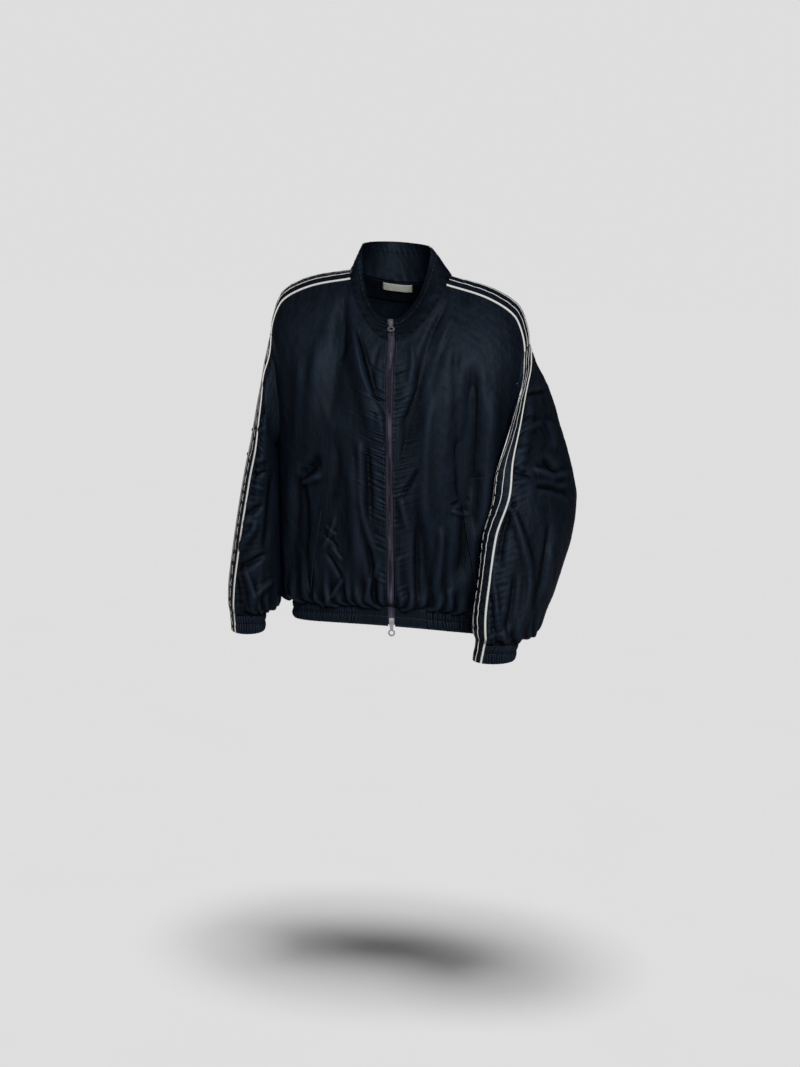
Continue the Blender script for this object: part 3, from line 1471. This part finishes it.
@dataclass
class StripeBand:
    """The stripe band over one shoulder and down the sleeve, with its pipings and thin braids."""

    shop: Workshop
    form: BodyForm
    sleeve: SleeveForm
    thickness: float = 1.2
    braid_half: float = 0.8
    braid_at: float = 7.4
    piping_half: float = 2.1
    piping_rise: float = 1.9

    def relief(self, patch: Patch, offset: Array, seed: int) -> Array:
        """The band's own small waves, still at its seams."""
        still = smooth((BAND_HALF - np.abs(offset)) / 7.0)
        waves = 0.7 * ruffle(patch.down + 0.25 * offset, 12.0, seed) + 0.25 * ruffle(patch.down, 6.5, seed + 1)
        calm = 1.0 if len(self.sleeve.side.word) and patch.down.max() > ARMHOLE_TOP else 0.45
        return calm * still * (waves + 0.3 * crumple(patch.points, 26.0, seed + 2))

    def strip(self, surface: Surface, downs: Array, middle: Callable[[float], float], offs: Array) -> Patch:
        """A patch along the band."""
        return Patch.over(surface.row, downs, [middle(float(d)) + offs for d in downs])

    def build_length(self, part: str, surface: Surface, downs: Array, middle: Any, half: Any, seed: int) -> None:
        """Makes one length of the band.

        Args:
            part: Shoulder or sleeve, as in the nodes' names.
            surface: What it lies on.
            downs: The rows.
            middle: Gives the band's middle in each row.
            half: Gives half the band's width in each row.
            seed: Picks the waves.
        """
        word = self.sleeve.side.word
        share = np.linspace(-1.0, 1.0, 19)
        rows = [middle(float(d)) + (half(float(d)) - SEAM / 2) * share for d in downs]
        patch = Patch.over(surface.row, downs, rows)
        offset = np.stack([(half(float(d)) - SEAM / 2) * share for d in downs])
        height = self.relief(patch, offset, seed)
        piece = self.shop.sheet_of(f"{part}_band_{word}_cloth", patch, height, "band", self.thickness)
        self.shop.seat(piece, [f"{part}_band_{word}"], slot="band")
        across = np.linspace(-1.0, 1.0, 9)
        for label, sign in (("front", 1), ("back", -1)):
            rows = [middle(float(d)) + sign * half(float(d)) + self.piping_half * across for d in downs]
            bead = Patch.over(surface.row, downs, rows)
            base = np.full(bead.down.shape, self.thickness / 2 - 0.35)
            cord = self.shop.bead(f"{part}_piping_{label}_{word}_cord", bead, base, self.piping_rise, "piping")
            self.shop.seat(cord, [f"{part}_piping_{label}_{word}"], slot="piping")
            wander = 0.35 * ruffle(downs, 14.0, seed + 7 + sign)
            offs = [sign * self.braid_at * half(float(d)) / BAND_HALF + w for d, w in zip(downs, wander)]
            rows = [middle(float(d)) + off + self.braid_half * across for d, off in zip(downs, offs)]
            braid = Patch.over(surface.row, downs, rows)
            offset = np.stack([off + self.braid_half * across for off in offs])
            base = self.relief(braid, offset, seed) + self.thickness / 2 + 0.1
            strip = self.shop.bead(f"{part}_braid_{label}_{word}", braid, base, 0.6, "piping")
            self.shop.seat(strip, slot="piping")

    def build(self) -> None:
        """Makes the shoulder's length and the sleeve's."""
        side = self.sleeve.side.value
        downs = np.concatenate([[-TUCK], np.arange(0.2, ARMHOLE_TOP - 2.0, 2.0), [ARMHOLE_TOP - 0.2]])
        surface = self.form.surface(side)
        self.build_length("shoulder", surface, downs, self.form.band_middle, lambda d: BAND_HALF, 101 + side)
        downs = np.concatenate([np.arange(0.2, SLEEVE_END - 2.0, 2.0), [SLEEVE_END]])
        self.build_length("sleeve", self.sleeve.surface(), downs, lambda d: 0.0, self.sleeve.band, 131 + side)


@dataclass
class Sleeve:
    """One sleeve's front and back panels and its gathered cuff."""

    shop: Workshop
    form: SleeveForm
    folds: Folds
    thickness: float = 0.0
    columns: int = 96
    wall: float = 1.5

    def relief(self, face: Face, patch: Patch) -> Array:
        """The folds, gathers and puckers of a sleeve panel."""
        seed = 200 + 10 * self.form.side.value + face.value
        band_off, under_off, cuff_off = patch.start, patch.end, CUFF_SEAM - patch.down
        p = patch.points
        height = self.folds.lift(p, patch.out)
        height += 0.8 * crumple(p, 32.0, seed, 1.6) + 0.5 * crumple(p, 15.0, seed + 1, 1.2)
        height += 0.22 * crumple(p, 9.0, seed + 9, 1.3)
        pucker = ruffle(patch.down + 0.35 * band_off, 6.0, seed + 2)
        pucker = pucker + 0.7 * ruffle(patch.down - 0.25 * band_off, 13.0, seed + 3)
        height += 1.3 * pucker * np.exp(-((band_off / 24.0) ** 1.4))
        gather = 2.2 * ruffle(patch.across + 0.15 * cuff_off, 5.0, seed + 4) * np.exp(-cuff_off / 18.0)
        gather += 4.4 * ruffle(patch.across, 12.0, seed + 5) * np.exp(-((cuff_off / 52.0) ** 2))
        height += gather
        height += 0.9 * ruffle(patch.start, 8.0, seed + 6) * np.exp(-patch.down / 18.0)
        return height * smooth(band_off / 7.0) * smooth(under_off / 8.0) * smooth(cuff_off / 6.0) * smooth(patch.down / 12.0)

    def build_panel(self, face: Face) -> None:
        """Makes one panel."""
        word = self.form.side.word
        downs = np.unique(np.concatenate([np.arange(0.2, CUFF_SEAM - SEAM, 2.3), [CUFF_SEAM - SEAM, CUFF_SEAM + TUCK]]))
        rows = []
        for down in downs:
            start = self.form.band(float(down)) + SEAM / 2
            reach = self.form.reach(face, float(down)) - SEAM / 2
            rows.append(face.value * np.linspace(start, reach, self.columns + 1))
        patch = Patch.over(self.form.surface().row, downs, rows)
        height = self.relief(face, patch)
        name = f"sleeve_{face.word}_{word}"
        piece = self.shop.sheet_of(f"{name}_cloth", patch, height, "shell", self.thickness)
        self.shop.seat(piece, [name])

    def build_cuff(self) -> None:
        """Makes the cuff and the lines that part its channels."""
        word = self.form.side.word
        downs = np.linspace(CUFF_SEAM + SEAM, SLEEVE_END, 17)
        rows = []
        for down in downs:
            start = self.form.band(float(down)) + SEAM / 2
            rows.append(np.linspace(start, self.form.loop(round(float(down), 4)).length - start, 241))
        patch = Patch.over(self.form.surface().row, downs, rows)
        share = (patch.down - CUFF_SEAM) / (SLEEVE_END - CUFF_SEAM)
        hump = np.abs(np.sin(2 * math.pi * np.clip(share, 0.0, 1.0))) ** 0.55
        ends = smooth(np.minimum(patch.start, patch.end) / 4.0)
        waves = ruffle(patch.start + 0.5 * np.sin(share * 9.0), 2.3, 301 + self.form.side.value)
        height = ends * (1.7 * hump - 0.8 + (0.5 + 1.3 * hump) * waves) * smooth(share / 0.06 + 0.2)
        piece = self.shop.sheet_of(f"cuff_{word}_cloth", patch, height, "shell", self.wall)
        self.shop.seat(piece, [f"cuff_{word}"])
        raised = patch.raised(height + self.wall / 2 + 0.05)
        for k, row in enumerate((1, 8, 15)):
            run = self.shop.stitches(f"cuff_{word}_stitching_{k + 1}", raised[row], patch.out[row])
            self.shop.seat(run)

    def build(self) -> None:
        """Makes the panels and the cuff."""
        for face in Face:
            self.build_panel(face)
        self.build_cuff()


@dataclass
class Zip:
    """The centre front zip: two tapes, the closed coil and its metal fittings."""

    shop: Workshop
    form: BodyForm
    chain_half: float = 2.7
    tape_half: float = 15.0
    pitch: float = 1.5
    top: float = -COLLAR_HEIGHT + 1.0
    end: float = HEM_SEAM + HEM_HEIGHT - 1.0

    def row(self, at: float, across: Array) -> tuple[Array, Array]:
        """One row across the centre front line, above 0 to the wearer's left."""
        arc = self.form.arc(Face.FRONT, round(max(-COLLAR_HEIGHT, min(HEM_SEAM, at)), 4))
        whole = self.form.neck[Face.FRONT] if at < 0 else arc.length
        along = whole * (1.0 - np.abs(across) / arc.length)
        p, n = self.form.surface(1).row(at, along)
        q, m = self.form.surface(-1).row(at, along)
        left = (across >= 0)[:, None]
        return np.where(left, p, q), np.where(left, n, m)

    def build_tape(self, side: Side) -> None:
        """Makes one tape."""
        downs = np.arange(self.top, self.end, 3.6)
        across = side.value * np.linspace(self.chain_half - 0.3, self.tape_half, 19)
        patch = Patch.over(self.row, downs, [across] * len(downs))
        wave = 0.35 * ruffle(patch.down, 9.0, 401 + side.value) * smooth(patch.start / 4.0)
        name = f"zip_tape_{side.word}"
        piece = self.shop.sheet_of(f"{name}_cloth", patch, CHAIN_SINK + wave, "tape", 0.7)
        self.shop.seat(piece, [name], slot="zip")

    def build_coil(self) -> None:
        """Makes the closed coil, as turns that meet at the centre line."""
        first, last = -COLLAR_HEIGHT + 6.0, HEM_SEAM + HEM_HEIGHT - 5.5
        downs = np.arange(first, last, self.pitch / 4)
        across = np.linspace(-self.chain_half, self.chain_half, 13)
        patch = Patch.over(self.row, downs, [across] * len(downs))
        middle = np.abs(patch.across) / self.chain_half
        turn = np.abs(np.sin(math.pi * (patch.down + 0.5 * self.pitch * (patch.across > 0)) / self.pitch))
        dome = 1.15 * np.sqrt(np.maximum(0.0, 1.0 - (2 * middle - 1.0) ** 2))
        height = CHAIN_SINK + 0.1 + dome * (0.55 + 0.45 * turn**0.6)
        piece = self.shop.sheet_of("zip_coil", patch, height, "coil", 0.0)
        self.shop.seat(piece, ["zip_chain"], slot="zip")

    def dress_fittings(self) -> None:
        """Rounds the edges of the sliders and pulls and gives them their metal."""
        for name in ("slider_top", "slider_bottom", "pull_top", "pull_bottom"):
            node = frame["nodes"][name]
            node.data.materials.clear()
            node.data.materials.append(self.shop.finishes["metal"])
            edge = node.modifiers.new("edge", "BEVEL")
            edge.width, edge.segments, edge.limit_method = 0.3 * MM, 2, "ANGLE"
            edge.angle_limit = math.radians(40)
            edge.harden_normals = False
            LOG.info("%s: dressed in place", name)

    def build(self) -> None:
        """Makes the tapes and the coil, and dresses the fittings."""
        for side in Side:
            self.build_tape(side)
        self.build_coil()
        self.dress_fittings()


@dataclass
class Studio:
    """The pale floor and backdrop, the soft lights and the camera."""

    yaw: float = 4.0
    pitch: float = 9.0
    roll: float = 2.5
    distance: float = 3.2
    focal_pixels: float = 1695.0
    image_width: float = 800.0
    aim: tuple[float, float, float] = (0.018, 0.0, -0.480)
    floor: float = -1.30
    floor_half: float = 60.0
    backdrop: float = 0.73
    pale: float = 0.760
    bounce: float = 0.30
    sky: float = 0.02
    overhead: float = 2.965
    softness: float = 25.0
    tilt: tuple[float, float] = (-0.8, -0.9)
    lit: dict[str, bpy.types.Collection] = field(default_factory=dict)
    lights: list[tuple[str, tuple[float, float, float], float, float, Colour]] = field(
        default_factory=lambda: [
            ("key_light", (1.3, -3.6, 1.6), 1.6, 185.0, (1.0, 0.99, 0.97)),
            ("left_light", (-2.2, -2.8, 1.8), 0.9, 26.0, (0.97, 0.99, 1.0)),
            ("back_light", (-0.9, 3.2, 1.1), 1.8, 95.0, (1.0, 1.0, 1.0)),
        ]
    )

    def build_camera(self) -> None:
        """Places the camera where the photograph was taken from."""
        a, e, r = (math.radians(v) for v in (self.yaw, self.pitch, self.roll))
        back = Vector((math.sin(a) * math.cos(e), -math.cos(a) * math.cos(e), math.sin(e)))
        right = Vector((math.cos(a), math.sin(a), 0.0))
        up = back.cross(right)
        turned = math.cos(r) * right + math.sin(r) * up
        above = -math.sin(r) * right + math.cos(r) * up
        data = bpy.data.cameras.new("camera")
        data.sensor_fit, data.sensor_width = "HORIZONTAL", 36.0
        data.lens = self.focal_pixels * 36.0 / self.image_width
        data.clip_start, data.clip_end = 0.05, 100.0
        camera = bpy.data.objects.new("camera", data)
        axes = Matrix((turned, above, back)).transposed().to_4x4()
        camera.matrix_world = Matrix.Translation(Vector(self.aim) + back * self.distance) @ axes
        bpy.context.scene.collection.objects.link(camera)
        bpy.context.scene.camera = camera

    def build_lights(self) -> None:
        """Hangs the soft lights, the floor's overhead light and the sky."""
        for name, spot, size, power, colour in self.lights:
            data = bpy.data.lights.new(name, "AREA")
            data.shape, data.size, data.energy, data.color = "SQUARE", size, power, colour
            light = bpy.data.objects.new(name, data)
            light.location = spot
            light.rotation_mode = "QUATERNION"
            light.rotation_quaternion = (Vector(self.aim) - Vector(spot)).to_track_quat("-Z", "Y")
            bpy.context.scene.collection.objects.link(light)
            light.light_linking.receiver_collection = self.lit["pieces"]
        data = bpy.data.lights.new("overhead_light", "SUN")
        data.energy, data.angle = self.overhead, math.radians(self.softness)
        light = bpy.data.objects.new("overhead_light", data)
        light.rotation_euler = (math.radians(self.tilt[0]), math.radians(self.tilt[1]), 0.0)
        bpy.context.scene.collection.objects.link(light)
        light.light_linking.receiver_collection = self.lit["studio"]

    def build_sky(self) -> None:
        """Makes the sky: dim as a light, and as pale as the floor where it is seen."""
        world = bpy.data.worlds.new("studio")
        world.use_nodes = True
        nodes, links = world.node_tree.nodes, world.node_tree.links
        rays = nodes.new("ShaderNodeLightPath")
        share = nodes.new("ShaderNodeMapRange")
        share.inputs[3].default_value = self.sky
        share.inputs[4].default_value = self.backdrop
        links.new(rays.outputs["Is Camera Ray"], share.inputs[0])
        links.new(share.outputs[0], nodes["Background"].inputs[1])
        nodes["Background"].inputs[0].default_value = (1.0, 1.0, 1.0, 1.0)
        bpy.context.scene.world = world

    def share_light(self) -> None:
        """Lists what each light falls on."""
        for made in bpy.context.scene.objects:
            if made.type == "MESH":
                group = "studio" if made.name == "floor" else "pieces"
                self.lit[group].objects.link(made)

    def build_plane(self, name: str, corners: Sequence[Sequence[float]], finish: bpy.types.Material) -> None:
        """Makes one large plane of the studio."""
        mesh = bpy.data.meshes.new(name)
        mesh.from_pydata(corners, [], [(0, 1, 2, 3)])
        mesh.materials.append(finish)
        made = bpy.data.objects.new(name, mesh)
        bpy.context.scene.collection.objects.link(made)

    def build_floor(self) -> None:
        """Makes the pale floor."""
        g = Graph("pale_floor")
        grain = g.noise(g.place(), 3.0, 2.0)
        low, high = (opaque((self.pale + step,) * 3) for step in (-0.008, 0.008))
        seen = g.node("ShaderNodeLightPath", {}, {}, "Is Camera Ray")
        shade = g.blend(seen, opaque((self.bounce,) * 3), g.blend(grain, low, high))
        finish = g.finish({"Base Color": shade, "Roughness": 0.9, "Specular IOR Level": 0.0})
        wide = self.floor_half
        corners = [(x * wide, y * wide, self.floor) for x, y in ((-1, -1), (1, -1), (1, 1), (-1, 1))]
        self.build_plane("floor", corners, finish)

    def build(self) -> None:
        """Makes the camera, the lights and the floor."""
        self.build_camera()
        self.lit = {name: bpy.data.collections.new(f"lit_{name}") for name in ("pieces", "studio")}
        self.build_lights()
        self.build_sky()
        self.build_floor()
        scene = bpy.context.scene
        scene.view_settings.view_transform = "Standard"
        scene.view_settings.look = "None"
        LOG.info("studio ready")


def main() -> None:
    """Builds the jacket's dress, piece by piece, and writes how large it came out."""
    logging.basicConfig(level=logging.INFO, format="%(name)s %(message)s")
    studio = Studio()
    studio.build()
    shop = Workshop()
    form = BodyForm()
    folds = Folds(BODY_FOLDS)
    sleeve_folds = Folds(SLEEVE_FOLDS)
    panels = BodyPanels(shop, form, folds)
    panels.build()
    Pockets(shop, panels).build()
    Collar(shop, form).build()
    HemBand(shop, form, panels).build()
    for side in Side:
        sleeve = SleeveForm(form, side)
        StripeBand(shop, form, sleeve).build()
        Sleeve(shop, sleeve, sleeve_folds).build()
    Zip(shop, form).build()
    studio.share_light()


if __name__ == "__main__":
    main()
